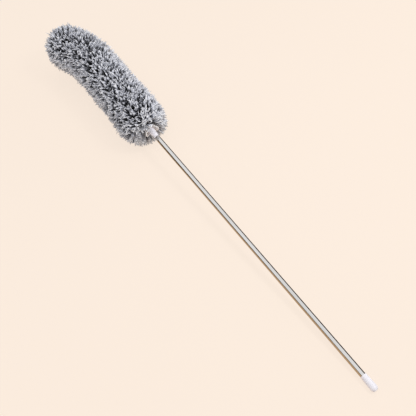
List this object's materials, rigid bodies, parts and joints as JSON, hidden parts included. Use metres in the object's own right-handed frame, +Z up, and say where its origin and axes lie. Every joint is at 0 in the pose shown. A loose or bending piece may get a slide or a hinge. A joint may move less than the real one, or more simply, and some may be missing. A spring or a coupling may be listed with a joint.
{
  "type": "foldable duster",
  "caption": "Telescoping steel pole with a plastic end cap and a tapered collar that carries a bendable head of soft grey microfibre pile, for dusting high or awkward places.",
  "frame": {"origin": "centre of the small flat on the end cap's foot", "axes": "+X along the pole from its foot to the head, +Y towards the side the head bends to, +Z up as the duster lies"},
  "size_m": [0.9667, 0.1205, 0.102],
  "materials": {
    "pole_steel": "polished",
    "soft_steel": "satin",
    "white_plastic": "satin",
    "hose_plastic": "matte",
    "sleeve_plastic": "matte",
    "hem_fabric": "matte",
    "microfibre": "matte"
  },
  "bodies": {
    "handle": {"end_cap": "white_plastic", "outer_tube": "pole_steel"},
    "middle_section": {"middle_tube": "pole_steel", "middle_friction_sleeve": "sleeve_plastic"},
    "inner_guide": {"inner_friction_sleeve": "sleeve_plastic"},
    "head_root": {"inner_tube": "pole_steel", "collar": "white_plastic", "collar_pin": "soft_steel", "hem_cuff": "hem_fabric", "hem_tie": "hem_fabric", "upper_wire_1": "soft_steel", "lower_wire_1": "soft_steel", "hose_1": "hose_plastic", "pile_1": "microfibre"},
    "head_lower": {"upper_wire_2": "soft_steel", "lower_wire_2": "soft_steel", "hose_2": "hose_plastic", "pile_2": "microfibre"},
    "head_upper": {"upper_wire_3": "soft_steel", "lower_wire_3": "soft_steel", "hose_3": "hose_plastic", "pile_3": "microfibre"},
    "head_tip": {"upper_wire_4": "soft_steel", "lower_wire_4": "soft_steel", "hose_4": "hose_plastic", "pile_4": "microfibre", "tip_cap": "white_plastic"}
  },
  "joints": [
    {"name": "middle_slide", "type": "slide", "parent": "handle", "child": "middle_section", "axis": [1, 0, 0], "range_m": [0, 0.549]},
    {"name": "inner_slide", "type": "slide", "parent": "middle_section", "child": "inner_guide", "axis": [1, 0, 0], "range_m": [0, 0.546]},
    {"name": "head_turn", "type": "hinge", "parent": "inner_guide", "child": "head_root", "pos_m": [0.6, 0, 0], "axis": [1, 0, 0], "continuous": true},
    {"name": "bend_1", "type": "hinge", "parent": "head_root", "child": "head_lower", "pos_m": [0.7247, 0, 0], "axis": [0, 0, 1], "range_deg": [-30, 30], "deforming": ["pile_1", "pile_2"]},
    {"name": "bend_2", "type": "hinge", "parent": "head_lower", "child": "head_upper", "pos_m": [0.79237, 0, 0], "axis": [0, 0, 1], "range_deg": [-30, 30], "deforming": ["pile_2", "pile_3"]},
    {"name": "bend_3", "type": "hinge", "parent": "head_upper", "child": "head_tip", "pos_m": [0.85989, 0.00278, 0], "axis": [0, 0, 1], "range_deg": [-30, 30], "deforming": ["pile_3", "pile_4"]}
  ],
  "couplings": [
    {"joint": "bend_2", "follows": "bend_1", "ratio": 1},
    {"joint": "bend_3", "follows": "bend_1", "ratio": 1}
  ]
}
